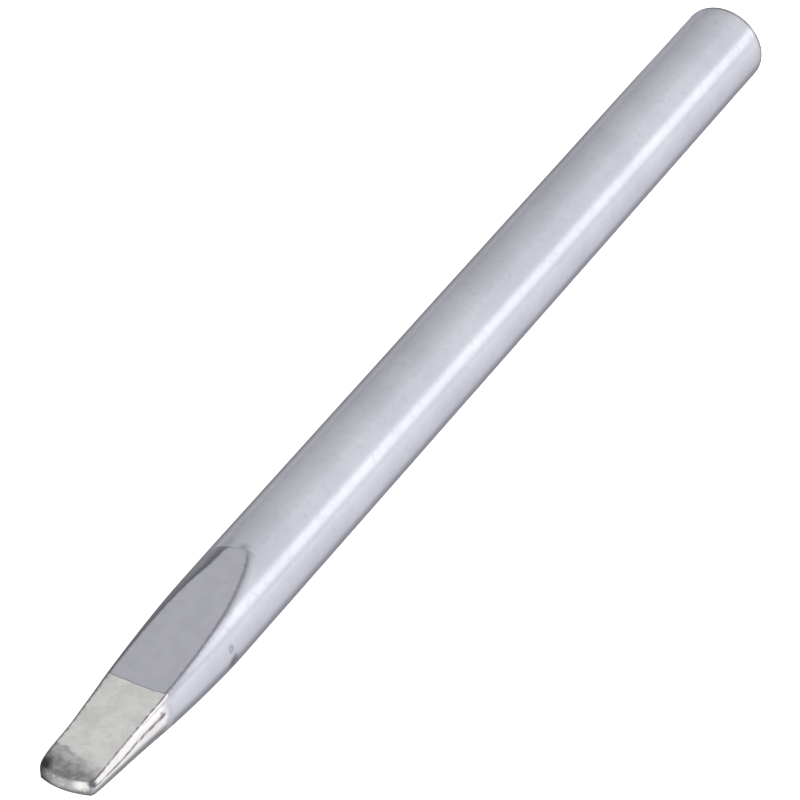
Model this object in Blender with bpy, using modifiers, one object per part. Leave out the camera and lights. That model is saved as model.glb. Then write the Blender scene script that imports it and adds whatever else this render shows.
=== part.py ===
"""Soldering iron bit of chisel shape, built up from its layers.

The bit lies along +X, from the centre of its rear end face at the origin to its working end, and its two
ground flats face +Z and -Z. A copper core carries the layers that are plated onto it one after another:
iron all over, nickel and then chrome up to the edge of the working end, and tin on the working end itself.
Each layer is a solid of its own, and all of them are cut flush at the rear end. Lengths are in metres.
"""

import math

import bmesh
import bpy
from mathutils import Matrix, Vector

MM = 0.001

# The finished bit
LENGTH = 76.0 * MM
SHANK_DIAMETER = 5.0 * MM
FLATS_START = 57.7 * MM  # where the flats run out on the round shank
TAPER_START = 57.2 * MM  # where the round sides begin to draw in
TAPER_RUN_IN = 12.0 * MM  # length over which the sides turn into their straight taper
TIN_EDGE = 68.6 * MM  # end of the chrome and start of the tinned working end
END_WIDTH = 3.0 * MM  # across the round sides at the working end
END_THICKNESS = 1.0 * MM  # across the flats at the working end
END_CROWN = 0.36 * MM  # how far the middle of the end face stands out
RIM_DROP = 0.08 * MM  # how far its rim is rounded off on top of that
RIM_TIGHTNESS = 10  # the higher, the closer to the rim that rounding starts

# The layers, thicker than real plating so that each one is a sound solid
CHROME_THICKNESS = 0.08 * MM
NICKEL_THICKNESS = 0.06 * MM
IRON_THICKNESS = 0.20 * MM
LAYER_GAP = 0.02 * MM
CORE_SETBACK = 0.8 * MM  # the iron is this much thicker in front of the core

# How finely the shape is faceted
FACETS = 64
NOSE_STEPS = 8
RUN_IN_STEPS = 8
MERGE_DISTANCE = 0.001 * MM

# Cutters reach this far past the surfaces that they cut
OVERRUN = 1.5 * MM

# Depths below the finished surface
NICKEL_DEPTH = CHROME_THICKNESS + LAYER_GAP
IRON_DEPTH = NICKEL_DEPTH + NICKEL_THICKNESS + LAYER_GAP
CORE_DEPTH = IRON_DEPTH + IRON_THICKNESS + LAYER_GAP

# Colour, metallic value and roughness of each layer
FINISHES = {
    "copper_core": ((0.72, 0.35, 0.22), 1.0, 0.35),
    "iron_plating": ((0.36, 0.35, 0.34), 1.0, 0.55),
    "nickel_plating": ((0.58, 0.55, 0.49), 1.0, 0.35),
    "chrome_plating": ((0.56, 0.56, 0.62), 1.0, 0.30),
    "tin_coating": ((0.52, 0.52, 0.49), 1.0, 0.25),
}


def clear_scene():
    for old in list(bpy.data.objects):
        bpy.data.objects.remove(old, do_unlink=True)


def new_collection(name):
    collection = bpy.data.collections.new(name)
    bpy.context.scene.collection.children.link(collection)
    return collection


def new_material(name):
    colour, metallic, roughness = FINISHES[name]
    material = bpy.data.materials.new(name)
    material.use_nodes = True
    shader = material.node_tree.nodes["Principled BSDF"]
    shader.inputs["Base Color"].default_value = (*colour, 1.0)
    shader.inputs["Metallic"].default_value = metallic
    shader.inputs["Roughness"].default_value = roughness
    return material


def side_radius(along):
    """Radius of the round sides at a distance along the axis: straight, then eased into a straight taper."""
    taper_length = LENGTH - TAPER_START
    slope = (SHANK_DIAMETER - END_WIDTH) / 2 / (taper_length - TAPER_RUN_IN / 2)
    run = max(along - TAPER_START, 0.0)
    if run < TAPER_RUN_IN:
        return SHANK_DIAMETER / 2 - slope * run * run / (2 * TAPER_RUN_IN)
    return SHANK_DIAMETER / 2 - slope * (run - TAPER_RUN_IN / 2)


def turned_profile(depth, setback):
    """(radius, distance along) from the centre of the crowned end, over its rim and down the side."""
    end = LENGTH - depth - setback
    rim = end - END_CROWN - RIM_DROP
    rim_radius = side_radius(rim) - depth
    points = []
    for step in range(NOSE_STEPS + 1):
        share = math.sin(step / NOSE_STEPS * math.pi / 2)
        drop = END_CROWN * share**2 + RIM_DROP * share**RIM_TIGHTNESS
        points.append((share * rim_radius, end - drop))
    for step in range(RUN_IN_STEPS, -1, -1):
        along = TAPER_START + TAPER_RUN_IN * step / RUN_IN_STEPS
        points.append((side_radius(along) - depth, along))
    shank_radius = SHANK_DIAMETER / 2 - depth
    points.append((shank_radius, -OVERRUN))
    points.append((0.0, -OVERRUN))
    return points


def turned_rod(name, depth, setback, collection):
    """The bit before its flats are ground. A facet lies level on top and underneath, at the true diameter."""
    half_facet = math.pi / FACETS
    outward = Vector((math.cos(half_facet), math.sin(half_facet), 0)) / math.cos(half_facet)
    outline = bmesh.new()
    corners = [
        outline.verts.new(outward * radius + Vector((0, 0, along)))
        for radius, along in turned_profile(depth, setback)
    ]
    for first, second in zip(corners, corners[1:]):
        outline.edges.new((first, second))
    mesh = bpy.data.meshes.new(name)
    outline.to_mesh(mesh)
    outline.free()
    rod = bpy.data.objects.new(name, mesh)
    rod.rotation_euler = (0, math.pi / 2, 0)
    collection.objects.link(rod)

    turn = rod.modifiers.new("turn", "SCREW")
    turn.axis = "Z"
    turn.steps = FACETS
    turn.render_steps = FACETS
    turn.use_merge_vertices = True
    turn.merge_threshold = MERGE_DISTANCE
    return rod


def as_cutter(cutter):
    cutter.hide_render = True
    cutter.display_type = "WIRE"
    return cutter


def block_cutter(name, size, centre, tilt=0.0):
    """A box of the given size, tilted about the Y axis."""
    shape = bmesh.new()
    bmesh.ops.create_cube(shape, size=1.0, matrix=Matrix.Diagonal((*size, 1.0)))
    mesh = bpy.data.meshes.new(name)
    shape.to_mesh(mesh)
    shape.free()
    block = bpy.data.objects.new(name, mesh)
    block.location = centre
    block.rotation_euler = (0, tilt, 0)
    cutters.objects.link(block)
    return as_cutter(block)


def cross_block(name, start, end):
    """A cutter that takes the whole width of the bit between two distances along it."""
    across = 2 * SHANK_DIAMETER
    return block_cutter(name, (end - start, across, across), ((start + end) / 2, 0, 0))


def cut(target, name, cutter):
    boolean = target.modifiers.new(name, "BOOLEAN")
    boolean.operation = "DIFFERENCE"
    boolean.solver = "EXACT"
    boolean.object = cutter


def grind_flats(rod, depth):
    """Cuts the two flats, which slope in from the shank to the working end, at a depth below the surface."""
    run = LENGTH - FLATS_START
    fall = (SHANK_DIAMETER - END_THICKNESS) / 2
    slope = math.atan2(fall, run)
    height = SHANK_DIAMETER
    size = (math.hypot(run, fall) + 2 * OVERRUN, 2 * SHANK_DIAMETER, height)
    for side, label in ((1, "upper"), (-1, "lower")):
        middle = Vector((FLATS_START + run / 2, 0, side * (SHANK_DIAMETER - fall) / 2))
        normal = Vector((math.sin(slope), 0, side * math.cos(slope)))
        centre = middle + normal * (height / 2 - depth)
        wedge = block_cutter(f"{rod.name}_{label}_flat", size, centre, side * slope)
        cut(rod, f"{label} flat", wedge)


def bit_form(name, depth, collection, setback=0.0):
    """A solid of the bit's shape, at a depth below the finished surface all round."""
    form = turned_rod(name, depth, setback, collection)
    grind_flats(form, depth)
    return form


def layer(name, depth, setback=0.0):
    """The outer form of one layer, cut flush at the rear end, in its own material."""
    solid = bit_form(name, depth, parts, setback)
    solid.data.materials.append(new_material(name))
    cut(solid, "rear end", rear_trim)
    return solid


def hollow(solid, depth, setback=0.0):
    """Opens a layer for what lies inside it."""
    cut(solid, "inside", as_cutter(bit_form(f"{solid.name}_inside", depth, cutters, setback)))


clear_scene()
parts = new_collection("soldering_iron_bit")
cutters = new_collection("cutters")
rear_trim = cross_block("rear_trim", -2 * OVERRUN, 0.0)
working_end_trim = cross_block("working_end_trim", TIN_EDGE - LAYER_GAP / 2, LENGTH + OVERRUN)
shank_trim = cross_block("shank_trim", -2 * OVERRUN, TIN_EDGE + LAYER_GAP / 2)

layer("copper_core", CORE_DEPTH, CORE_SETBACK)

iron = layer("iron_plating", IRON_DEPTH)
hollow(iron, IRON_DEPTH + IRON_THICKNESS, CORE_SETBACK)

nickel = layer("nickel_plating", NICKEL_DEPTH)
hollow(nickel, NICKEL_DEPTH + NICKEL_THICKNESS)
cut(nickel, "working end", working_end_trim)

chrome = layer("chrome_plating", 0.0)
hollow(chrome, CHROME_THICKNESS)
cut(chrome, "working end", working_end_trim)

tin = layer("tin_coating", 0.0)
hollow(tin, IRON_DEPTH - LAYER_GAP)
cut(tin, "shank", shank_trim)
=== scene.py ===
"""Looks of the soldering iron bit: finely meshed layers, their finishes, a pale floor and soft studio light.

Every piece stands for the CAD node of the same layer and repeats its shape, with the small roundings, lips
and unevenness that the CAD leaves out. Lengths are in metres, in the CAD's frame: the bit lies along +X from
its rear end face, and its flats face +Z and -Z.
"""

import math

import bpy
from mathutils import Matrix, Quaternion, Vector, noise


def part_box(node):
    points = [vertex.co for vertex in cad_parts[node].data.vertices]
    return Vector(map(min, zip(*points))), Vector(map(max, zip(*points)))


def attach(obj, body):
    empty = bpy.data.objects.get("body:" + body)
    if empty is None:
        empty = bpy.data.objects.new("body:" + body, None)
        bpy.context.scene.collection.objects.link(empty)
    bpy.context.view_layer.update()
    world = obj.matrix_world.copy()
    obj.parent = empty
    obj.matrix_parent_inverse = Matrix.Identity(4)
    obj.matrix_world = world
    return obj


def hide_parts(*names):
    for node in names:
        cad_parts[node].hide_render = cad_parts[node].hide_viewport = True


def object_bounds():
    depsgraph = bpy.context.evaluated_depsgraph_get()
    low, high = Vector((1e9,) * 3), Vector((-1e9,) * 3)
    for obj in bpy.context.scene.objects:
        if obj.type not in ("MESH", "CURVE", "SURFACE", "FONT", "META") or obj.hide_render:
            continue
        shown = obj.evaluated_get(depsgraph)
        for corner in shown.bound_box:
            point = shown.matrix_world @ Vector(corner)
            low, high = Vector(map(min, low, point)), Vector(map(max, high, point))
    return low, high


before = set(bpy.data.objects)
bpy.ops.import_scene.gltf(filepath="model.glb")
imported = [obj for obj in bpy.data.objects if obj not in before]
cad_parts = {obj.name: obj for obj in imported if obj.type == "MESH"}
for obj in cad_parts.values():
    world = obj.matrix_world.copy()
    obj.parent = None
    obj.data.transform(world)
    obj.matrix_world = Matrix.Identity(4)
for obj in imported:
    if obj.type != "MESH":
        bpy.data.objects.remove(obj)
CAD_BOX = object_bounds()

MM = 0.001

# The bit's driving dimensions, as in the CAD
LENGTH = CAD_BOX[1].x
RADIUS = CAD_BOX[1].y
FLATS_START = 57.7 * MM
TAPER_START = 57.2 * MM
TAPER_RUN_IN = 12.0 * MM
END_RADIUS = 1.5 * MM
END_HALF_THICKNESS = 0.5 * MM
END_CROWN = 0.36 * MM
END_SKEW = 0.10 * MM  # the end face leans back by this much at its +Y corner
TIN_EDGE = (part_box("chrome_plating")[1].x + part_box("tin_coating")[0].x) / 2
CORE_SETBACK = 0.8 * MM
NICKEL_END = TIN_EDGE - 0.01 * MM
SLEEVE_END = TIN_EDGE - 1 * MM  # where the rings of the iron and the core change into those of their ends

# Depths of each layer's outer surface, and how far apart the bonded layers are kept
NICKEL_DEPTH = 0.10 * MM
IRON_DEPTH = 0.18 * MM
CORE_DEPTH = 0.40 * MM
BOND = 0.004 * MM
CLEARANCE = 0.0005 * MM  # keeps the finest bumps inside the CAD's box

# Small shapes
FRONT_BELLY = 0.08 * MM  # how much fuller than a straight taper the +Y side is
BACK_BELLY = 0.04 * MM
BACK_FLARE = 0.12 * MM  # how much the -Y corner of the end spreads
# Where along the bit the sides grow fuller, the +Y side draws in again and the corner spreads
BELLY_RISE = (FLATS_START + 0.3 * MM, FLATS_START + 5 * MM)
FRONT_FALL = (TIN_EDGE - 4 * MM, LENGTH - 4 * MM)
FLARE_RISE = (LENGTH - 3.6 * MM, LENGTH - 1.0 * MM)
REAR_RIM = 0.12 * MM  # rounding of the rear rim
RIM_WIDTH = 0.75 * REAR_RIM  # how much of that rounding the chrome takes up
CHROME_EDGE = 0.06 * MM  # rounding between the flats and the round sides on the shank
TIN_EDGE_ROUNDING = 0.20 * MM  # the same where the tinned end starts, drawn smaller towards the end
END_EDGE_ROUNDING = 0.18 * MM
FAR_ROUNDING = 0.7  # share of that rounding on the -Y side, where less solder stayed
SOFTENING = (TIN_EDGE - 0.1 * MM, TIN_EDGE + 0.3 * MM)  # where the edges turn from crisp to soft
# Lengths over which the upper flat, a round side and the lower flat bend down to the end
END_DROOPS = (1.6 * MM, 0.40 * MM, 0.50 * MM)
END_LIPS = (0.18 * MM, 0.22 * MM, 0.07 * MM)  # and how far those bends reach across the end face
INNER_DROOPS = [0.3 * MM] * 3
INNER_LIPS = [0.12 * MM] * 3
CORE_LIPS = [0.06 * MM] * 3
FACE_INSET = 0.15 * MM  # the face's outer rings keep its outline this far in
START_LEAN = 0.14 / MM  # how much the upper flat rounds off towards -Y where it begins
EVEN_LEAN = 0.018 / MM  # and along the rest of it
LEAN_LENGTH = 2.2 * MM
LINE_GAP = 0.008 * MM  # from the middle of the tin line to the chrome and to the tin
CHROME_LIP = 0.02 * MM
TIN_LIP = 0.035 * MM
NEAR_LINE = 0.012 * MM  # the last ring before a lip, so that the lip's shading stays on the lip
LINE_BOW = 0.14 * MM  # how far the tin line bends towards the end in the middle of a flat
BOWING_LENGTH = 4 * MM  # over which the chrome's rings take on that bend
LINE_WAVE = 0.035 * MM  # how far the line wanders
LINE_WAVELENGTH = 0.55 * MM
SIDE_GROOVE = 0.03  # share of the groove at the tin line that is left round the sides
CHROME_WAVE = 0.0035 * MM
TIN_WAVE = 0.014 * MM
TIN_WAVELENGTH = 1.3 * MM
TIN_RIPPLE = 0.004 * MM
TIN_RIPPLE_LENGTH = 0.45 * MM
TIN_CENTRE = LENGTH - 4 * MM  # the hollows at the end sink towards this place on the axis
CALM_SHARE = 0.2  # how much of the tin's unevenness is left beside the tin line
CALM_LENGTH = 1.0 * MM
CORE_SINK = 0.015 * MM  # how far the core's rear face stands back
TURNING_DEPTH = 0.004 * MM  # depth of that face's turning marks
CENTRE_DIMPLE = 0.03 * MM

SLOPE = (RADIUS - END_HALF_THICKNESS) / (LENGTH - FLATS_START)
TAPER = (RADIUS - END_RADIUS) / (LENGTH - TAPER_START - TAPER_RUN_IN / 2)

# Columns of the mesh in one quarter of the section
SIDE_STEPS = 20
EDGE_STEPS = 6
FLAT_STEPS = 10
CROWDING = 1.5  # the higher, the closer the columns stand to the flats' edges
QUARTER = SIDE_STEPS + EDGE_STEPS + FLAT_STEPS
COLUMNS = 4 * QUARTER
FRONT_QUARTERS = (0, 3)  # on the +Y side, because the quarters are counted from +Y over the top
LOWER_QUARTERS = (2, 3)
GROUND_QUARTER = 1  # the one that the upper flat leans down in
LAST_EDGE = math.radians(86)  # past this angle the flats are too narrow for columns of their own
SPARE_EDGE = math.radians(88)  # where the edge's columns end on the round shank
SHARP_ANGLE = math.radians(38)  # the mesh is shaded smooth across edges that bend less than this
LIP_TURNS = 5  # rings across a lip, less one
TIN_RINGS = 44
LIP_RINGS = 12  # round the bend at the end
CAP_RINGS = 10  # and over the end face
INNER_RINGS = 14  # the same three on the surfaces that are hidden inside
INNER_LIP_RINGS = 4
INNER_CAP_RINGS = 4
FACE_RINGS = 24  # across the core's rear face


def smooth(value, low, high):
    """0 below low and 1 above high, with an easy passage between them."""
    share = min(max((value - low) / (high - low), 0.0), 1.0)
    return share * share * (3 - 2 * share)


def mix(first, second, share):
    return first + (second - first) * share


# ---------------------------------------------------------------------------------------------- shape


def side_radius(along):
    """Radius of the round sides: straight, then eased into a straight taper."""
    run = max(along - TAPER_START, 0.0)
    if run < TAPER_RUN_IN:
        return RADIUS - TAPER * run * run / (2 * TAPER_RUN_IN)
    return RADIUS - TAPER * (run - TAPER_RUN_IN / 2)


def flat_height(along):
    """How far from the axis the flats lie."""
    return RADIUS - SLOPE * (along - FLATS_START)


def belly(along, quarter):
    """How much fuller than a straight taper the sides are, the +Y side more than the other."""
    rise = smooth(along, *BELLY_RISE)
    if quarter in FRONT_QUARTERS:
        return FRONT_BELLY * rise * (1 - smooth(along, *FRONT_FALL))
    return BACK_BELLY * rise + BACK_FLARE * smooth(along, *FLARE_RISE)


def edge_rounding(along, quarter):
    """Radius between flat and side: crisp on the chrome, soft and shrinking on the tin."""
    soft = mix(TIN_EDGE_ROUNDING, END_EDGE_ROUNDING, smooth(along, TIN_EDGE, LENGTH))
    if quarter not in FRONT_QUARTERS:
        soft *= FAR_ROUNDING
    return mix(CHROME_EDGE, soft, smooth(along, *SOFTENING))


def grind_lean(along, quarter):
    """How much the upper flat curves down towards -Y. It was ground by hand and isn't quite even."""
    if quarter != GROUND_QUARTER:
        return 0.0
    return mix(START_LEAN, 0.0, smooth(along, FLATS_START, FLATS_START + LEAN_LENGTH)) + EVEN_LEAN


def section_point(along, column, depth):
    """(y, z) of one column of the section at a distance along the bit, and its place across the section.

    The place holds three numbers. The first is the distance in millimetres from the middle of the flat's
    rounded edge, positive on the flat. The second is a share: 0 in the middle of a side, 1 to 2 on the edge,
    3 in the middle of the flat. The third is 0, which the end's rings raise to 1 where the end face starts
    and to 2 in its middle.
    """
    quarter, step = divmod(column % COLUMNS, QUARTER)
    if quarter % 2:
        step = QUARTER - step
    radius = min(side_radius(along) + belly(along, quarter), RADIUS) - depth
    height = flat_height(along) - depth * math.hypot(1, SLOPE)
    edge = max(edge_rounding(along, quarter) - depth, 0.01 * MM)
    lean = grind_lean(along, quarter)
    tilt, level = 0.0, height
    if lean > 0 and height < radius:
        ease = 1 - 2 * height * lean
        reach = math.sqrt(ease**2 + 4 * lean**2 * (radius**2 - height**2)) - ease
        corner = math.sqrt(reach / 2) / lean
        tilt = math.atan(2 * lean * corner)
        level = corner * math.sin(tilt) + (height - lean * corner**2) * math.cos(tilt)
    reach = radius - edge
    has_flat = height < radius and level - edge < reach * math.sin(LAST_EDGE)
    first, last, half_arc, crossing = LAST_EDGE, SPARE_EDGE, 0.0, 0.0
    if has_flat:
        outward = math.sqrt(reach**2 - (level - edge) ** 2)
        centre_y = (level - edge) * math.sin(tilt) + outward * math.cos(tilt)
        centre_z = (level - edge) * math.cos(tilt) - outward * math.sin(tilt)
        first = math.atan2(centre_z, centre_y)
        last = math.pi / 2 - tilt
        half_arc = edge * (last - first) / 2
        half_flat = centre_y + edge * math.sin(tilt)
        crossing = RADIUS * SLOPE / half_flat
    if step <= SIDE_STEPS:
        share = 1 - (1 - step / SIDE_STEPS) ** CROWDING
        turn = first * share
        off = -radius * first * (1 - share) - half_arc
    elif step <= SIDE_STEPS + EDGE_STEPS:
        share = (step - SIDE_STEPS) / EDGE_STEPS
        turn = mix(first, last, share)
        off = mix(-half_arc, half_arc, share)
        share += 1
    else:
        share = ((step - SIDE_STEPS - EDGE_STEPS) / FLAT_STEPS) ** CROWDING
        turn = mix(last, math.pi / 2, share)
        off = half_arc
        share += 2
    y = radius * math.cos(turn)
    z = radius * math.sin(turn)
    if has_flat and share > 2:
        y = half_flat * (3 - share)
        z = height - lean * y * y
        off += half_flat * (share - 2)
    elif has_flat and share > 1:
        y = centre_y + edge * math.cos(turn)
        z = centre_z + edge * math.sin(turn)
    elif not has_flat:
        off = -math.hypot(along - FLATS_START, radius * (math.pi / 2 - turn))
    if height < radius:
        z = min(z, height)
    if quarter not in FRONT_QUARTERS:
        y = -y
    if quarter in LOWER_QUARTERS:
        z = -z
    return y, z, (off / math.hypot(1, crossing) / MM, share, 0.0)


def surface(along, column, depth=0.0):
    """A point at a depth below the finished surface, and its place."""
    y, z, place = section_point(along, column, depth + CLEARANCE)
    return Vector((along, y, z)), place


def line_shift(column):
    """How far the tin line lies from its place: bowed on the flats, and a little uneven."""
    spot, (_, share, _) = surface(TIN_EDGE, column)
    bow = LINE_BOW * smooth(share, 1.0, 3.0)
    wave = LINE_WAVE * noise.noise(spot / LINE_WAVELENGTH)
    return bow + wave


def line_depth(column):
    """How open the groove at the tin line is: 1 on the flats, closing to almost nothing round the sides."""
    _, (_, share, _) = surface(TIN_EDGE, column)
    return mix(SIDE_GROOVE, 1.0, smooth(share, 1.1, 1.8))


LINE_SHIFTS = [line_shift(column) for column in range(COLUMNS)]
LINE_DEPTHS = [line_depth(column) for column in range(COLUMNS)]
MIDDLE = (1.0, 3.0, 2.0)  # the place of a pole, as section_point tells it
CORNER_TRIES = 6  # each try comes closer to the corner


def end_face(y, z):
    """Distance along of the crowned end face."""
    share = math.hypot(y, z) / END_RADIUS
    highest = END_SKEW**2 / (4 * END_CROWN)
    return LENGTH - highest - END_CROWN * share**2 - END_SKEW * y / END_RADIUS - CLEARANCE


def end_corner(column, depth, setback):
    """Where a column of the side surface would meet the end face."""
    along = LENGTH - END_CROWN
    for _ in range(CORNER_TRIES):
        y, z, _ = section_point(along, column, depth + CLEARANCE)
        along = end_face(y, z) - depth - setback
    return along


# ---------------------------------------------------------------------------------------------- meshes


def loft(name, rings, closed):
    """A closed mesh through rings of (position, place) pairs. A ring of one pair is a pole.

    The places become three attributes of the mesh, which the materials read.
    """
    vertices, places, starts = [], [], []
    for ring in rings:
        starts.append(len(vertices))
        vertices += [spot for spot, _ in ring]
        places += [place for _, place in ring]
    faces = []
    pairs = list(zip(range(len(rings)), range(1, len(rings))))
    if closed:
        pairs.append((len(rings) - 1, 0))
    for first, second in pairs:
        for column in range(COLUMNS):
            beside = (column + 1) % COLUMNS
            if len(rings[first]) == 1:
                corners = (starts[first], starts[second] + beside, starts[second] + column)
            elif len(rings[second]) == 1:
                corners = (starts[first] + column, starts[first] + beside, starts[second])
            else:
                corners = (
                    starts[first] + column,
                    starts[first] + beside,
                    starts[second] + beside,
                    starts[second] + column,
                )
            faces.append(corners)
    mesh = bpy.data.meshes.new(name)
    mesh.from_pydata(vertices, [], faces)
    mesh.validate()
    mesh.shade_smooth()
    mesh.set_sharp_from_angle(angle=SHARP_ANGLE)
    for index, attribute in enumerate(("edge", "across", "end")):
        values = mesh.attributes.new(attribute, "FLOAT", "POINT")
        values.data.foreach_set("value", [place[index] for place in places])
    piece = bpy.data.objects.new(name, mesh)
    bpy.context.scene.collection.objects.link(piece)
    return piece


def steps(start, end, count):
    """Evenly spaced values from start to end, both included."""
    return [mix(start, end, index / count) for index in range(count + 1)]


def rear_rim(depth):
    """How far in front of the rear face the rounded rear rim lies, at a depth below the surface."""
    if depth >= REAR_RIM:
        return 0.0
    return REAR_RIM - math.sqrt(REAR_RIM**2 - (REAR_RIM - depth) ** 2)


def shank_stations():
    """Distances along the shank, close together where the flats begin."""
    stations = steps(1.0 * MM, TAPER_START - 0.2 * MM, 38)
    stations += steps(TAPER_START, FLATS_START - 0.05 * MM, 4)
    stations += steps(FLATS_START, FLATS_START + 1.5 * MM, 30)
    stations += steps(FLATS_START + 1.6 * MM, TIN_EDGE - 0.35 * MM, 36)
    stations += steps(TIN_EDGE - 0.16 * MM, TIN_EDGE - 0.07 * MM, 2)
    return stations


def round_ring(radius, along):
    """A ring at a rear end, with its columns where the shank's are."""
    ring = []
    for column in range(COLUMNS):
        spot, place = surface(0.0, column)
        out = Vector((0, spot.y, spot.z)).normalized() * radius
        ring.append((Vector((along, out.y, out.z)), place))
    return ring


def chrome_uneven(spot):
    """Depth of the faint waviness of a hand-fed grind and polish."""
    return CHROME_WAVE * (1 + noise.noise(Vector((spot.x / 6, spot.y / 1.6, spot.z / 1.6)) / MM))


def sunk(spot, depth):
    """The point moved towards the axis."""
    shrink = 1 - depth / math.hypot(spot.y, spot.z)
    return Vector((spot.x, spot.y * shrink, spot.z * shrink))


def shank_skin(along_columns, depths):
    """A slightly wavy ring of the chrome, with a distance along and a depth for each column."""
    ring = []
    for column, (along, depth) in enumerate(zip(along_columns, depths)):
        spot, place = surface(along, column, depth)
        ring.append((sunk(spot, chrome_uneven(spot)), place))
    return ring


def bowed(station):
    """Distances along of a ring that takes on the tin line's shape as it nears the line."""
    share = smooth(station, TIN_EDGE - BOWING_LENGTH, TIN_EDGE)
    return [station + share * shift for shift in LINE_SHIFTS]


def line_side(before, drop, margin=0.0):
    """A ring at the tin line, before it and below the surface by these lengths where the groove is open."""
    ends = [TIN_EDGE + shift - margin - before * open_ for shift, open_ in zip(LINE_SHIFTS, LINE_DEPTHS)]
    return ends, [drop * open_ for open_ in LINE_DEPTHS]


def chrome_skin():
    rings = []
    for turn in range(LIP_TURNS + 1):
        angle = math.pi / 2 * turn / LIP_TURNS
        inward = RIM_WIDTH * (1 - math.sin(angle))
        rings.append(round_ring(RADIUS - CLEARANCE - inward, rear_rim(inward)))
    inner = NICKEL_DEPTH - BOND
    for station in shank_stations():
        rings.append(shank_skin(bowed(station), [0.0] * COLUMNS))
    rings.append(shank_skin(*line_side(CHROME_LIP + LINE_GAP, 0.0, NEAR_LINE)))
    for turn in range(LIP_TURNS + 1):
        angle = math.pi / 2 * turn / LIP_TURNS
        before = CHROME_LIP * (1 - math.sin(angle)) + LINE_GAP
        rings.append(shank_skin(*line_side(before, CHROME_LIP * (1 - math.cos(angle)))))
    rings.append(shank_skin(line_side(LINE_GAP, 0.0)[0], [inner] * COLUMNS))
    for station in reversed(shank_stations()):
        rings.append(shank_skin(bowed(station), [inner] * COLUMNS))
    rings.append(round_ring(RADIUS - inner, rear_rim(inner)))
    return loft("chrome_skin", rings, True)


def by_place(values, spot, place):
    """Blend of the upper flat's value, a round side's and the lower flat's for a place on the section."""
    upper, side, lower = values
    return mix(side, upper if spot.z > 0 else lower, smooth(place[1], 0.6, 1.9))


def nose(depth, setback, droops, lips, inset, lip_rings, cap_rings, uneven):
    """Rings over the end from the sides to the middle: a soft bend and then the crowned face."""
    bends = []
    for column in range(COLUMNS):
        corner = end_corner(column, depth, setback)
        middle, place = surface(corner, column, depth)
        before, _ = surface(corner - by_place(droops, middle, place), column, depth)
        lip = by_place(lips, middle, place)
        after, _ = surface(corner, column, depth + lip)
        after.x = end_face(after.y, after.z) - depth - setback
        bends.append((before, middle, after, place, lip))
    rings = []
    for index in range(1, lip_rings + 1):
        share = index / lip_rings
        ring = []
        for before, middle, after, place, _ in bends:
            spot = before * (1 - share) ** 2 + middle * (2 * share * (1 - share)) + after * share**2
            ring.append((uneven(spot), (*place[:2], share)))
        rings.append(ring)
    for index in range(1, cap_rings):
        share = 1 - (index / cap_rings) ** CROWDING
        ring = []
        for column, (_, middle, after, place, lip) in enumerate(bends):
            parallel, _ = surface(middle.x, column, depth + lip + inset * index / cap_rings)
            blend = smooth(index / cap_rings, 0.2, 0.8)
            y = mix(parallel.y, after.y * share, blend)
            z = mix(parallel.z, after.z * share, blend)
            spot = Vector((end_face(y, z) - depth - setback, y, z))
            ring.append((uneven(spot), (*place[:2], 1 + index / cap_rings)))
        rings.append(ring)
    tip = Vector((end_face(0, 0) - depth - setback, 0, 0))
    rings.append([(uneven(tip), MIDDLE)])
    return rings


def tin_uneven(spot):
    """Solder sets with a gently wavy surface."""
    coarse = noise.noise(spot / TIN_WAVELENGTH + Vector((7, 3, 5)))
    fine = noise.noise(spot / TIN_RIPPLE_LENGTH + Vector((1, 9, 2)))
    depth = TIN_WAVE * (1 + coarse) + TIN_RIPPLE * (1 + fine)
    depth *= mix(CALM_SHARE, 1.0, smooth(spot.x, TIN_EDGE, TIN_EDGE + CALM_LENGTH))
    toward = Vector((min(spot.x, TIN_CENTRE), 0, 0))
    return spot + (toward - spot).normalized() * depth


def as_is(spot):
    """For the surfaces inside, which aren't wavy."""
    return spot


def cup(depth, setback, start_of, body_rings, droops, lips, inset, lip_rings, cap_rings, uneven):
    """Rings from the start of a cup-shaped layer to the middle of its end."""
    rings = []
    corners = []
    for column in range(COLUMNS):
        corner = end_corner(column, depth, setback)
        corners.append(corner - by_place(droops, *surface(corner, column, depth)))
    for index in range(body_rings + 1):
        share = index / body_rings
        ring = []
        for column in range(COLUMNS):
            spot, place = surface(mix(start_of(column), corners[column], share), column, depth)
            ring.append((uneven(spot), place))
        rings.append(ring)
    return rings + nose(depth, setback, droops, lips, inset, lip_rings, cap_rings, uneven)


def inner_cup(depth, setback, start_of, lips):
    """The same for a surface that is hidden inside, more coarsely meshed."""
    rings = (INNER_LIP_RINGS, INNER_CAP_RINGS)
    return cup(depth, setback, start_of, INNER_RINGS, INNER_DROOPS, lips, 0.0, *rings, as_is)


def tin_start(column, beyond):
    """Distance along of a column's point this far beyond the tin's start."""
    return TIN_EDGE + LINE_SHIFTS[column] + (LINE_GAP + beyond) * LINE_DEPTHS[column]


def tinned_end():
    outer = []
    for turn in range(LIP_TURNS + 1):
        angle = math.pi / 2 * turn / LIP_TURNS
        ring = []
        for column in range(COLUMNS):
            along = tin_start(column, TIN_LIP * (1 - math.cos(angle)))
            spot, place = surface(along, column, TIN_LIP * (1 - math.sin(angle)) * LINE_DEPTHS[column])
            ring.append((tin_uneven(spot), place))
        outer.append(ring)
    outer += cup(
        0.0,
        0.0,
        lambda column: tin_start(column, TIN_LIP) + NEAR_LINE,
        TIN_RINGS,
        END_DROOPS,
        END_LIPS,
        FACE_INSET,
        LIP_RINGS,
        CAP_RINGS,
        tin_uneven,
    )
    inner = inner_cup(IRON_DEPTH - BOND, 0.0, lambda column: tin_start(column, 0.0), INNER_LIPS)
    return loft("tinned_end", list(reversed(inner)) + outer, False)


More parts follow.
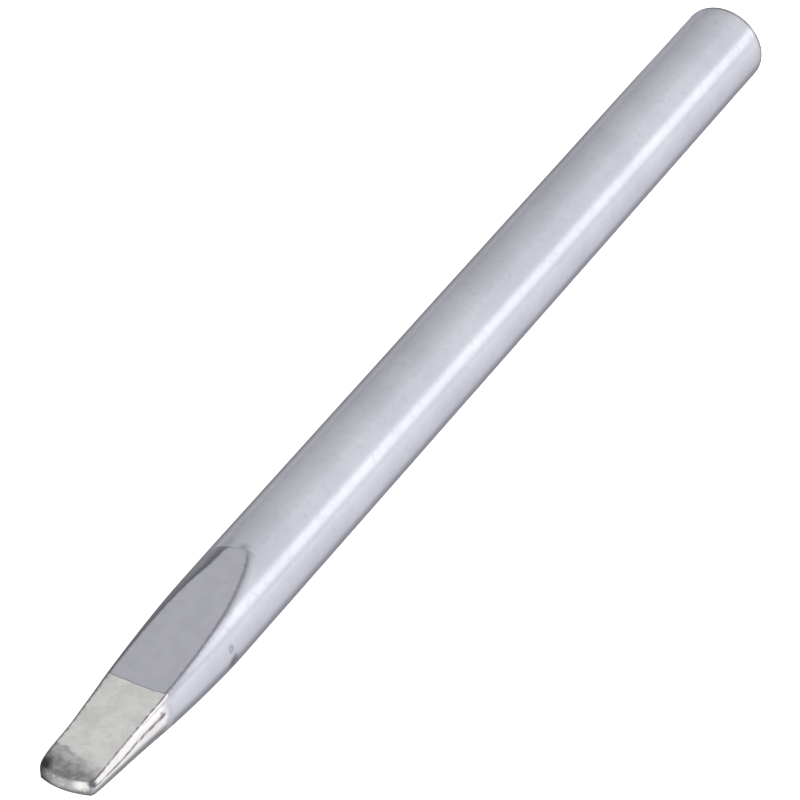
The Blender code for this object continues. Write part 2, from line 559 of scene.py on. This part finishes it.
def layer_rings(depth, end):
    """Rings of a layer's surface from the rear end to near the tin line."""
    rings = []
    for station in shank_stations():
        if station < end:
            rings.append([surface(station, column, depth) for column in range(COLUMNS)])
    return rings


def nickel_sleeve():
    inner = IRON_DEPTH - BOND
    rings = [round_ring(RADIUS - NICKEL_DEPTH, rear_rim(NICKEL_DEPTH))]
    rings += layer_rings(NICKEL_DEPTH, NICKEL_END)
    for depth in (NICKEL_DEPTH, inner):
        ring = [surface(NICKEL_END + shift, column, depth) for column, shift in enumerate(LINE_SHIFTS)]
        rings.append(ring)
    rings += reversed(layer_rings(inner, NICKEL_END))
    rings.append(round_ring(RADIUS - inner, 0.0))
    return loft("nickel_sleeve", rings, True)


def iron_jacket():
    inner = CORE_DEPTH - BOND
    outer = [round_ring(RADIUS - IRON_DEPTH, 0.0)] + layer_rings(IRON_DEPTH, SLEEVE_END)
    outer += inner_cup(IRON_DEPTH, 0.0, lambda column: TIN_EDGE, INNER_LIPS)
    inside = [round_ring(RADIUS - inner, 0.0)] + layer_rings(inner, SLEEVE_END)
    inside += inner_cup(inner, CORE_SETBACK, lambda column: TIN_EDGE, CORE_LIPS)
    return loft("iron_jacket", list(reversed(inside)) + outer, False)


def core_rod():
    turned = RADIUS - CORE_DEPTH
    outer = [round_ring(turned, CORE_SINK)] + layer_rings(CORE_DEPTH, SLEEVE_END)
    outer += inner_cup(CORE_DEPTH, CORE_SETBACK, lambda column: TIN_EDGE, CORE_LIPS)
    face = []
    for index in range(1, FACE_RINGS):
        groove = TURNING_DEPTH * (1 - math.cos(math.tau * index / 2))
        face.append(round_ring(turned * (1 - index / FACE_RINGS), groove))
    face.append([(Vector((CENTRE_DIMPLE, 0, 0)), MIDDLE)])
    return loft("core_rod", list(reversed(face)) + outer, False)


# ---------------------------------------------------------------------------------------------- materials


class Shader:
    """A material's nodes, added one at a time."""

    def __init__(self, name):
        self.material = bpy.data.materials.new(name)
        self.material.use_nodes = True
        self.tree = self.material.node_tree
        self.surface = self.tree.nodes["Principled BSDF"]
        coordinates = self.tree.nodes.new("ShaderNodeTexCoord")
        self.millimetres = self.vector("SCALE", coordinates.outputs["Object"], scale=1 / MM)

    def add(self, kind, inputs=(), **settings):
        node = self.tree.nodes.new(kind)
        for key, value in settings.items():
            setattr(node, key, value)
        for socket, value in dict(inputs).items():
            self.feed(node.inputs[socket], value)
        return node

    def feed(self, socket, value):
        if isinstance(value, bpy.types.NodeSocket):
            self.tree.links.new(value, socket)
        else:
            socket.default_value = value

    def set(self, socket, value):
        self.feed(self.surface.inputs[socket], value)

    def vector(self, operation, first, second=None, scale=None):
        inputs = {0: first}
        if second is not None:
            inputs[1] = second
        if scale is not None:
            inputs["Scale"] = scale
        node = self.add("ShaderNodeVectorMath", inputs, operation=operation)
        return node.outputs["Value" if operation == "DISTANCE" else "Vector"]

    def math(self, operation, first, second=0.0):
        return self.add("ShaderNodeMath", {0: first, 1: second}, operation=operation).outputs[0]

    def noise(self, scale, detail=3.0, roughness=0.5, stretch=(1, 1, 1), shift=(0, 0, 0)):
        """Noise between about 0.2 and 0.8, with about this many spots in a millimetre."""
        place = self.vector("MULTIPLY", self.millimetres, stretch)
        place = self.vector("ADD", place, shift)
        inputs = {"Vector": place, "Scale": scale, "Detail": detail, "Roughness": roughness}
        return self.add("ShaderNodeTexNoise", inputs).outputs[0]

    def band(self, value, low, high, start=0.0, end=1.0):
        """start where the value is low, end where it is high, with an easy passage between them."""
        inputs = {"Value": value, "From Min": low, "From Max": high, "To Min": start, "To Max": end}
        return self.add("ShaderNodeMapRange", inputs, interpolation_type="SMOOTHSTEP").outputs[0]

    def mix(self, share, first, second):
        """Blend of two colours."""
        node = self.add("ShaderNodeMix", data_type="RGBA")
        self.feed(node.inputs[0], share)
        self.feed(node.inputs[6], colour(first))
        self.feed(node.inputs[7], colour(second))
        return node.outputs[2]

    def attribute(self, name):
        return self.add("ShaderNodeAttribute", attribute_name=name).outputs["Fac"]

    def distances(self):
        """Millimetres along the bit from its rear face, and across and up from its axis."""
        return self.add("ShaderNodeSeparateXYZ", {0: self.millimetres}).outputs

    def product(self, first, *others):
        """All of the values multiplied together."""
        for other in others:
            first = self.math("MULTIPLY", first, other)
        return first

    def bump(self, heights):
        """Stacks (height, strength, distance in millimetres) on top of each other."""
        normal = None
        for height, strength, distance in heights:
            inputs = {"Height": height, "Strength": strength, "Distance": distance * MM}
            if normal is not None:
                inputs["Normal"] = normal
            normal = self.add("ShaderNodeBump", inputs).outputs[0]
        self.set("Normal", normal)


def colour(value):
    """A node's output as it is, or a plain colour with its alpha."""
    if isinstance(value, bpy.types.NodeSocket):
        return value
    return (*value, 1.0)


def near(shader, value, centre, half_width):
    """1 at the centre of a narrow line and 0 beside it."""
    off = shader.math("ABSOLUTE", shader.math("SUBTRACT", value, centre))
    return shader.band(off, half_width, 0.0)


# Places on the bit in millimetres
STAIN = Vector((63.15, 2.31, 0.60))  # a ring left by a drop of flux
SMUDGE = Vector((62.95, 2.40, -0.35))
SPECK = Vector((69.5, 1.87, 0.73))  # a dark speck of flux on the tin
END_CORNER_SPOTS = ((Vector((75.55, 1.50, 0.30)), 0.45), (Vector((75.60, -1.55, 0.38)), 0.62))  # black spots at the top corners of the end, and their radii
APEX = (57.6, 58.7)  # where the painted shade line round the flats fades in
RIM_SHADE = (0.36, 0.14)  # where the shank darkens towards its rear rim

OUTLINE_WIDTH = 0.19  # of the painted shade line round the flats, to either side, and how far it wanders
OUTLINE_WANDER = 0.20

# Colours of the chrome. The pairs are blended cloudily
SHANK_COLOURS = ((0.550, 0.555, 0.615), (0.590, 0.595, 0.655))
SHANK_DULL = (0.47, 0.47, 0.53)
CHROME_FLAT_COLOURS = ((0.56, 0.56, 0.63), (0.48, 0.48, 0.54))
# painted shade: the dark line round the flats
OUTLINE_SHADE_COLOUR = (0.18, 0.18, 0.22)
# painted shade: a dark band on the round side beside the flats' edges
BESIDE_EDGE_SHADE = (0.25, 0.25, 0.28)
# painted shade: the -Y side next to the flats' edges
FAR_CORNER_SHADE = (0.12, 0.12, 0.14)
UNDERSIDE_COLOUR = (0.32, 0.325, 0.37)
SHADED_COLOUR = (0.20, 0.20, 0.22)
STAIN_COLOUR = (0.16, 0.16, 0.18)

# Colours of the tin
TIN_FLAT_COLOURS = ((0.74, 0.74, 0.72), (0.86, 0.86, 0.84))
TIN_FLAT_MOTTLE = (0.66, 0.66, 0.63)
# soot, and a painted dark reflection on the flat towards the end
SOOT_AND_SHADE_COLOURS = ((0.46, 0.46, 0.46), (0.28, 0.28, 0.30))
STREAK_COLOUR = (0.26, 0.26, 0.29)
# black, for the painted shade at the end's -Y corner and for the spots at its top corners
BLACK_COLOUR = (0.06, 0.06, 0.07)
TIN_SIDE_COLOURS = ((0.78, 0.77, 0.78), (0.86, 0.86, 0.86))
# painted shade on the lower part of the tinned sides
TIN_UNDERSIDE_SHADE = (0.36, 0.36, 0.39)
TIN_START_COLOUR = (0.54, 0.545, 0.60)
# painted shade: the dark lines along the flat's edge and along the side
SHADE_LINE_COLOUR = (0.17, 0.09, 0.13)
SPECK_COLOUR = (0.22, 0.16, 0.24)
# painted shade on the tin's -Y side
FAR_SIDE_SHADE = (0.17, 0.165, 0.17)
FACE_COLOURS = ((0.32, 0.32, 0.32), (0.50, 0.50, 0.49))
FACE_MOTTLE = (0.80, 0.80, 0.79)
# painted shade round the end face's rim and on its lower part
FACE_RIM_SHADE = (0.22, 0.22, 0.23)
# painted shade at the end face's corners
FACE_CORNER_SHADE = (0.14, 0.14, 0.15)
# a painted highlight on the end face towards +Y
FACE_HIGHLIGHT_COLOUR = (0.97, 0.97, 0.95)
# painted shade along the lower edge of the end
LOWER_RIM_SHADE = (0.14, 0.14, 0.15)

# Colours of the layers inside, which show at the rear end
NICKEL_COLOURS = ((0.60, 0.56, 0.49), (0.50, 0.47, 0.42))
IRON_COLOURS = ((0.34, 0.33, 0.32), (0.26, 0.25, 0.24))
RUST_COLOUR = (0.20, 0.15, 0.12)
COPPER_COLOURS = ((0.78, 0.40, 0.26), (0.60, 0.29, 0.19))
GROOVE_COLOUR = (0.45, 0.22, 0.15)


def chrome_marks(s):
    """How stained the chrome is: the flux drop's ring and the smudge below it."""
    from_stain = s.vector("DISTANCE", s.millimetres, STAIN)
    from_stain = s.math("ADD", from_stain, s.math("MULTIPLY", s.noise(5.0), 0.12))
    ring = s.math("MULTIPLY", near(s, from_stain, 0.22, 0.14), 0.5)
    from_smudge = s.vector("DISTANCE", s.millimetres, SMUDGE)
    from_smudge = s.math("ADD", from_smudge, s.math("MULTIPLY", s.noise(3.0), 0.5))
    return s.math("MAXIMUM", ring, s.band(from_smudge, 0.9, 0.4, 0.0, 0.75))


def chrome_material():
    s = Shader("chrome_finish")
    s.set("Metallic", 1.0)
    s.set("Specular Tint", (0.45, 0.45, 0.47, 1.0))
    cloud = s.band(s.noise(0.25, 4, 0.55), 0.35, 0.65)
    fine = s.noise(2.2, 4, 0.6, shift=(5, 1, 8))
    grain = s.noise(9.0, 2, 0.5)
    along, width, height = s.distances()
    edge = s.attribute("edge")
    on_flat = s.band(edge, -0.02, 0.06)

    body = s.mix(cloud, *SHANK_COLOURS)
    body = s.mix(s.band(fine, 0.52, 0.75, 0.0, 0.35), body, SHANK_DULL)
    blotch = s.band(s.noise(1.1, 5, 0.62, shift=(2, 2, 2)), 0.42, 0.62, 0.0, 0.4)
    body = s.mix(on_flat, body, s.mix(blotch, *CHROME_FLAT_COLOURS))

    # Painted shade: dark lines where the flats meet the round sides, a dark band beside them and a dark -Y
    # corner
    wander = s.math("MULTIPLY", s.math("SUBTRACT", s.noise(4.5, 3, 0.6), 0.5), OUTLINE_WANDER)
    outline_shade = near(s, s.math("ADD", edge, wander), 0.0, OUTLINE_WIDTH)
    outline_shade = s.product(outline_shade, s.band(along, *APEX, 0.3, 1.0), 0.72)
    body = s.mix(outline_shade, body, OUTLINE_SHADE_COLOUR)
    # Painted shade beside the flats' edges
    beside = s.product(s.band(edge, -0.5, -0.05), s.band(edge, 0.06, -0.02), 0.45)
    body = s.mix(beside, body, BESIDE_EDGE_SHADE)
    # Painted shade on the -Y side next to the flats' edges
    far_corner_shade = s.product(
        s.band(width, -0.6, -1.1), s.band(edge, -1.5, -0.3), s.band(edge, 0.10, 0.02), 0.62
    )
    body = s.mix(far_corner_shade, body, FAR_CORNER_SHADE)

    # The sides that face away from the light, the stains and the rear rim
    body = s.mix(s.band(height, 0.15, -0.6), body, UNDERSIDE_COLOUR)
    shaded = s.product(s.band(width, -1.3, -1.9, 0.0, 0.25), s.band(edge, 0.0, -0.1))
    body = s.mix(shaded, body, SHADED_COLOUR)
    body = s.mix(chrome_marks(s), body, STAIN_COLOUR)
    body = s.mix(s.band(along, *RIM_SHADE, 0.0, 0.82), body, SHADED_COLOUR)
    s.set("Base Color", body)
    rough = s.band(fine, 0.3, 0.7, 0.20, 0.27)
    s.set("Roughness", s.math("ADD", rough, s.math("MULTIPLY", on_flat, 0.05)))
    draw = s.noise(3.0, 2, 0.5, stretch=(0.04, 1, 1))
    s.bump([(draw, 0.12, 0.010), (grain, 0.25, 0.004), (fine, 0.10, 0.01)])
    return s.material


class TinShader(Shader):
    """The tinned end's nodes, with the places and the unevenness that its colours share."""

    def __init__(self):
        super().__init__("tin_finish")
        self.across = self.attribute("across")
        self.end = self.attribute("end")
        self.along, self.width, self.height = self.distances()
        upward = self.band(self.height, -0.02, 0.02, -1.0, 1.0)
        self.side_place = self.math("MULTIPLY", self.across, upward)
        uneven = self.noise(2.2, 3, shift=(9, 2, 6))
        self.wander = self.math("MULTIPLY", self.math("SUBTRACT", uneven, 0.5), 0.3)
        self.wavy_across = self.math("ADD", self.across, self.wander)
        self.cloud = self.band(self.noise(0.9, 5, 0.62), 0.36, 0.64)
        self.mottle = self.noise(3.2, 4, 0.65, shift=(3, 1, 4))
        start = self.math("ADD", self.along, self.math("MULTIPLY", self.noise(1.5, 3), 0.8))
        self.start = self.product(self.band(start, 69.9, 69.3), self.band(self.across, 1.3, 0.7))

    def flat_colour(self):
        """Matt solder, darker towards the end with soot and a painted dark reflection, and with painted
        shade at the -Y corner.
        """
        flat = self.mix(self.cloud, *TIN_FLAT_COLOURS)
        flat = self.mix(self.band(self.mottle, 0.50, 0.70, 0.0, 0.6), flat, TIN_FLAT_MOTTLE)
        uneven = self.math("MULTIPLY", self.noise(1.2, 4, 0.6, shift=(1, 6, 2)), 1.2)
        near_end = self.math("ADD", self.along, uneven)
        near_end = self.math("SUBTRACT", near_end, self.math("MULTIPLY", self.width, 0.28))
        soot_and_shade = self.mix(self.band(self.mottle, 0.35, 0.62), *SOOT_AND_SHADE_COLOURS)
        # Darker towards the end: soot, and a painted dark reflection
        flat = self.mix(self.band(near_end, 74.6, 76.0, 0.0, 0.95), flat, soot_and_shade)
        streak = near(self, self.math("SUBTRACT", near_end, self.wander), 75.10, 0.22)
        streak = self.product(streak, self.band(self.width, 0.2, -0.5), 0.5)
        flat = self.mix(streak, flat, STREAK_COLOUR)
        # Painted shade: black at the -Y corner of the end
        painted_corner_shade = self.product(self.band(self.width, -0.8, -1.25), self.band(self.along, 74.8, 75.5), 0.95)
        return self.mix(painted_corner_shade, flat, BLACK_COLOUR)

    def side_colour(self):
        """Bright solder, with painted shade below, and darker where it starts on the chrome's side."""
        side = self.mix(self.cloud, *TIN_SIDE_COLOURS)
        # Painted shade on the lower part of the side
        side = self.mix(self.band(self.side_place, 0.12, -0.30), side, TIN_UNDERSIDE_SHADE)
        return self.mix(self.start, side, TIN_START_COLOUR)

    def shade_lines(self):
        """How much painted shade lies in the dark line along the flat's edge and in the dark line along the
        side.
        """
        patchy = self.band(self.noise(1.8, 3, 0.6, shift=(2, 8, 3)), 0.30, 0.55, 0.45, 1.0)
        patchy = self.math("MULTIPLY", patchy, self.band(self.start, 0.6, 0.1))
        edge_line = near(self, self.wavy_across, 1.45, 0.50)
        side_line = self.math("ADD", self.side_place, self.math("MULTIPLY", self.wander, 0.4))
        side_line = self.math("ADD", side_line, self.band(self.along, 71.5, 73.5, 0.0, 0.14))
        side_line = near(self, side_line, 0.48, 0.17)
        lines = self.math("MAXIMUM", edge_line, side_line)
        return self.product(lines, patchy, self.band(self.end, 0.9, 0.5), 0.92)

    def face_colour(self):
        """The end face: worn grey, with a painted highlight towards +Y and painted shade round its rim and
        at its corners.
        """
        face = self.mix(self.cloud, *FACE_COLOURS)
        face = self.mix(self.band(self.mottle, 0.5, 0.66, 0.0, 0.7), face, FACE_MOTTLE)
        # Painted shade round the rim and on the lower part
        rim_shade = self.math("MAXIMUM", self.band(self.end, 1.35, 1.05), self.band(self.height, -0.05, -0.36))
        face = self.mix(self.math("MULTIPLY", rim_shade, 0.6), face, FACE_RIM_SHADE)
        # Painted shade at both corners
        far_shade, close_shade = self.band(self.width, -0.5, -1.25), self.band(self.width, 1.15, 1.55, 0.0, 0.45)
        corner = self.math("MULTIPLY", self.math("MAXIMUM", far_shade, close_shade), 0.75)
        face = self.mix(corner, face, FACE_CORNER_SHADE)
        # A painted highlight towards +Y
        painted_highlight = self.product(near(self, self.width, 0.85, 0.60), self.band(self.height, -0.25, 0.10), 0.75)
        return self.mix(painted_highlight, face, FACE_HIGHLIGHT_COLOUR)


def tin_material():
    s = TinShader()
    s.set("Metallic", 1.0)
    s.set("Specular Tint", (0.4, 0.4, 0.4, 1.0))
    on_flat = s.math("MULTIPLY", s.band(s.wavy_across, 1.40, 1.70), s.band(s.end, 0.95, 0.8))
    body = s.mix(on_flat, s.side_colour(), s.flat_colour())
    # Painted shade: dark lines along the flat's edge and along the side
    body = s.mix(s.shade_lines(), body, SHADE_LINE_COLOUR)
    speck = near(s, s.vector("DISTANCE", s.millimetres, SPECK), 0.0, 0.14)
    body = s.mix(s.math("MULTIPLY", speck, 0.7), body, SPECK_COLOUR)
    # Painted shade on the -Y side
    far_shade = s.product(
        s.band(s.width, -0.5, -1.0), s.band(s.across, 0.3, 0.9), s.band(s.wavy_across, 2.06, 1.96), 0.75
    )
    body = s.mix(far_shade, body, FAR_SIDE_SHADE)
    body = s.mix(s.band(s.end, 0.75, 1.0), body, s.face_colour())
    # Black spots at the top corners of the end
    for centre, radius in END_CORNER_SPOTS:
        from_spot = s.math("ADD", s.vector("DISTANCE", s.millimetres, centre), s.wander)
        body = s.mix(s.band(from_spot, radius, 0.25 * radius, 0.0, 0.9), body, BLACK_COLOUR)
    # Painted shade along the lower edge of the end
    lower_rim_shade = s.product(s.band(s.height, -0.15, -0.40), s.band(s.end, 0.1, 0.4), 0.8)
    body = s.mix(lower_rim_shade, body, LOWER_RIM_SHADE)
    s.set("Base Color", body)

    gloss = s.band(s.cloud, 0.0, 1.0, 0.09, 0.14)
    gloss = s.math("ADD", gloss, s.math("MULTIPLY", s.start, 0.12))
    s.set("Roughness", s.math("ADD", gloss, s.math("MULTIPLY", on_flat, 0.24)))
    ripple = s.noise(1.6, 3, 0.5, shift=(4, 4, 1))
    grain = s.noise(10.0, 2, 0.5)
    s.bump([(ripple, 0.25, 0.03), (grain, 0.3, 0.004)])
    return s.material


def nickel_material():
    s = Shader("nickel_finish")
    s.set("Metallic", 1.0)
    cloud = s.noise(1.5, 4, 0.6)
    grain = s.noise(14.0, 2, 0.5)
    s.set("Base Color", s.mix(s.band(cloud, 0.35, 0.65), *NICKEL_COLOURS))
    s.set("Roughness", s.band(grain, 0.3, 0.7, 0.28, 0.42))
    s.bump([(grain, 0.3, 0.004)])
    return s.material


def iron_material():
    s = Shader("iron_finish")
    s.set("Metallic", 1.0)
    cloud = s.noise(1.2, 5, 0.65)
    grain = s.noise(11.0, 3, 0.6)
    body = s.mix(s.band(cloud, 0.35, 0.65), *IRON_COLOURS)
    body = s.mix(s.band(grain, 0.6, 0.75, 0.0, 0.5), body, RUST_COLOUR)
    s.set("Base Color", body)
    s.set("Roughness", s.band(cloud, 0.3, 0.7, 0.42, 0.58))
    s.bump([(grain, 0.4, 0.006)])
    return s.material


def copper_material():
    s = Shader("copper_finish")
    s.set("Metallic", 1.0)
    cloud = s.noise(0.9, 4, 0.6)
    grain = s.noise(12.0, 2, 0.5)
    inputs = {"Vector": s.millimetres, "Scale": 5.0, "Distortion": 0.4, "Detail": 2.0}
    turning = s.add("ShaderNodeTexWave", inputs, wave_type="RINGS", rings_direction="X").outputs["Fac"]
    body = s.mix(s.band(cloud, 0.35, 0.65), *COPPER_COLOURS)
    body = s.mix(s.math("MULTIPLY", turning, 0.25), body, GROOVE_COLOUR)
    s.set("Base Color", body)
    s.set("Roughness", s.band(cloud, 0.3, 0.7, 0.28, 0.42))
    s.bump([(turning, 0.35, 0.008), (grain, 0.2, 0.004)])
    return s.material


# ---------------------------------------------------------------------------------------------- the bit


def place(piece, node, slot, material):
    """Puts a piece on the bit's one body, in the place of a CAD node."""
    piece.data.materials.append(material)
    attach(piece, "root")
    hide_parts(node)


place(chrome_skin(), "chrome_plating", "chrome", chrome_material())
place(tinned_end(), "tin_coating", "tin", tin_material())
place(nickel_sleeve(), "nickel_plating", "nickel", nickel_material())
place(iron_jacket(), "iron_plating", "iron", iron_material())
place(core_rod(), "copper_core", "copper", copper_material())


# ---------------------------------------------------------------------------------------------- studio

FLOOR_SIZE = 1.6
FLOOR_DROP = 0.002 * MM  # below the bit's lowest line
FLOOR_WHITE = 0.92
FLOOR_ROUGHNESS = 0.9
FLOOR_SHINE = 0.1
FLOOR_GLOW = 0.10  # light that the floor gives off of its own, as white acrylic lit from below
WHITE_GLOW = 0.90  # the same for what the camera sees of it, so that it stays white round the bit


def floor():
    mesh = bpy.data.meshes.new("floor")
    half = FLOOR_SIZE / 2
    corners = [(-half, -half, 0), (half, -half, 0), (half, half, 0), (-half, half, 0)]
    mesh.from_pydata(corners, [], [(0, 1, 2, 3)])
    sheet = bpy.data.objects.new("floor", mesh)
    sheet.location = (LENGTH / 2, 0, -RADIUS - FLOOR_DROP)
    bpy.context.scene.collection.objects.link(sheet)
    material = bpy.data.materials.new("pale_floor")
    material.use_nodes = True
    shader = material.node_tree.nodes["Principled BSDF"]
    shader.inputs["Base Color"].default_value = (FLOOR_WHITE, FLOOR_WHITE, FLOOR_WHITE, 1.0)
    shader.inputs["Roughness"].default_value = FLOOR_ROUGHNESS
    shader.inputs["Specular IOR Level"].default_value = FLOOR_SHINE
    shader.inputs["Emission Color"].default_value = (1.0, 1.0, 1.0, 1.0)
    path = material.node_tree.nodes.new("ShaderNodeLightPath")
    glow = material.node_tree.nodes.new("ShaderNodeMix")
    glow.data_type = "FLOAT"
    glow.inputs[2].default_value = FLOOR_GLOW
    glow.inputs[3].default_value = WHITE_GLOW
    material.node_tree.links.new(path.outputs["Is Camera Ray"], glow.inputs[0])
    material.node_tree.links.new(glow.outputs[0], shader.inputs["Emission Strength"])
    mesh.materials.append(material)


def ramp(tree, value, stops):
    """A level that follows the value through (position, level) stops."""
    node = tree.nodes.new("ShaderNodeValToRGB")
    tree.links.new(value, node.inputs[0])
    node.color_ramp.interpolation = "EASE"
    elements = node.color_ramp.elements
    while len(elements) < len(stops):
        elements.new(0.5)
    for element, (position, level) in zip(elements, stops):
        element.position = position
        element.color = (level, level, level, 1.0)
    return node.outputs[0]


# Brightness of the studio round the bit's axis: degrees above the +Y horizon, going over the top to -Y
ROUND = (
    (0, 1.00),
    (40, 1.02),
    (80, 1.00),
    (96, 0.87),
    (121, 0.77),
    (150, 0.71),
    (180, 0.68),
)
# and along it: from behind the rear end, -1, to in front of the working end, +1
LENGTHWISE = (
    (-1.0, 1.00),
    (-0.7, 1.00),
    (-0.52, 0.84),
    (-0.25, 0.66),
    (0.15, 0.60),
    (0.7, 0.85),
    (1.0, 0.90),
)
# The strip light on the +Y side, in the same two ways
STRIP_ROUND = ((7, 0.0), (13, 0.4), (17, 0.6), (32, 0.62), (41, 0.0))
STRIP_LENGTHWISE = ((-1.0, 1.0), (-0.4, 1.0), (0.2, 0.4), (1.0, 0.3))
BRIGHTEST = 2.0
SKY = 1.08  # strength of all of it together
SOFT_SHARE = 0.42  # how much of it lights the floor, which the lamp does for the rest
BACKDROP = 0.95  # what the camera sees of it

# The lamp: its place from the middle of the bit, its diameter and its power in watts
KEY_OFFSET = Vector((-0.1, 0.5, 0.32))
KEY_SIZE = 0.35
KEY_POWER = 5.7


def studio():
    world = bpy.data.worlds.new("studio")
    bpy.context.scene.world = world
    world.use_nodes = True
    tree = world.node_tree
    tree.nodes.clear()

    def calculate(operation, first, second=0.0, clamp=False):
        node = tree.nodes.new("ShaderNodeMath")
        node.operation = operation
        node.use_clamp = clamp
        for socket, value in zip(node.inputs, (first, second)):
            if isinstance(value, bpy.types.NodeSocket):
                tree.links.new(value, socket)
            else:
                socket.default_value = value
        return node.outputs[0]

    coordinates = tree.nodes.new("ShaderNodeTexCoord")
    split = tree.nodes.new("ShaderNodeSeparateXYZ")
    tree.links.new(coordinates.outputs["Generated"], split.inputs[0])
    x, y, z = split.outputs
    turn = calculate("DIVIDE", calculate("ARCTAN2", z, y), math.pi, clamp=True)
    length = calculate("MULTIPLY_ADD", x, 0.5)
    length.node.inputs[2].default_value = 0.5

    def part(around, lengthwise):
        round_level = ramp(tree, turn, [(angle / 180, level / BRIGHTEST) for angle, level in around])
        length_level = ramp(tree, length, [((place + 1) / 2, level) for place, level in lengthwise])
        return calculate("MULTIPLY", round_level, length_level)

    both = calculate("ADD", part(ROUND, LENGTHWISE), part(STRIP_ROUND, STRIP_LENGTHWISE))
    level = calculate("MULTIPLY", both, BRIGHTEST * SKY)
    path = tree.nodes.new("ShaderNodeLightPath")
    dimmed = calculate("MULTIPLY_ADD", path.outputs["Is Diffuse Ray"], SOFT_SHARE - 1)
    dimmed.node.inputs[2].default_value = 1.0
    level = calculate("MULTIPLY", level, dimmed)
    seen = tree.nodes.new("ShaderNodeMix")
    seen.data_type = "FLOAT"
    tree.links.new(path.outputs["Is Camera Ray"], seen.inputs[0])
    tree.links.new(level, seen.inputs[2])
    seen.inputs[3].default_value = BACKDROP
    background = tree.nodes.new("ShaderNodeBackground")
    background.inputs["Color"].default_value = (1, 1, 1, 1)
    tree.links.new(seen.outputs[0], background.inputs["Strength"])
    output = tree.nodes.new("ShaderNodeOutputWorld")
    tree.links.new(background.outputs[0], output.inputs[0])


def floor_light(name, offset, size, power):
    """A large soft light for the floor. The metal shows the studio round it, not this light."""
    data = bpy.data.lights.new(name, "AREA")
    data.shape = "DISK"
    data.size = size
    data.energy = power
    light = bpy.data.objects.new(name, data)
    light.location = Vector((LENGTH / 2, 0, 0)) + offset
    light.rotation_euler = offset.to_track_quat("Z", "Y").to_euler()
    light.visible_glossy = False
    bpy.context.scene.collection.objects.link(light)


# The camera looks from the working end's side, along the bit and down
AZIMUTH = math.radians(115.44)
ELEVATION = math.radians(38.05)
ROLL = math.radians(4.10)
DISTANCE = 347.6 * MM
LENS = 290.6
TARGET = Vector((39.69 * MM, -0.28 * MM, 0.03 * MM))
NEAREST = 0.01  # nothing closer to the camera is rendered


def camera():
    data = bpy.data.cameras.new("camera")
    data.lens = LENS
    data.clip_start = NEAREST
    viewer = bpy.data.objects.new("camera", data)
    back = Vector(
        (
            math.sin(AZIMUTH) * math.cos(ELEVATION),
            -math.cos(AZIMUTH) * math.cos(ELEVATION),
            math.sin(ELEVATION),
        )
    )
    viewer.location = TARGET + back * DISTANCE
    viewer.rotation_mode = "QUATERNION"
    viewer.rotation_quaternion = (-back).to_track_quat("-Z", "Y") @ Quaternion((0, 0, 1), ROLL)
    bpy.context.scene.collection.objects.link(viewer)
    bpy.context.scene.camera = viewer


floor()
studio()
floor_light("key", KEY_OFFSET, KEY_SIZE, KEY_POWER)
camera()
bpy.context.scene.view_settings.view_transform = "Standard"
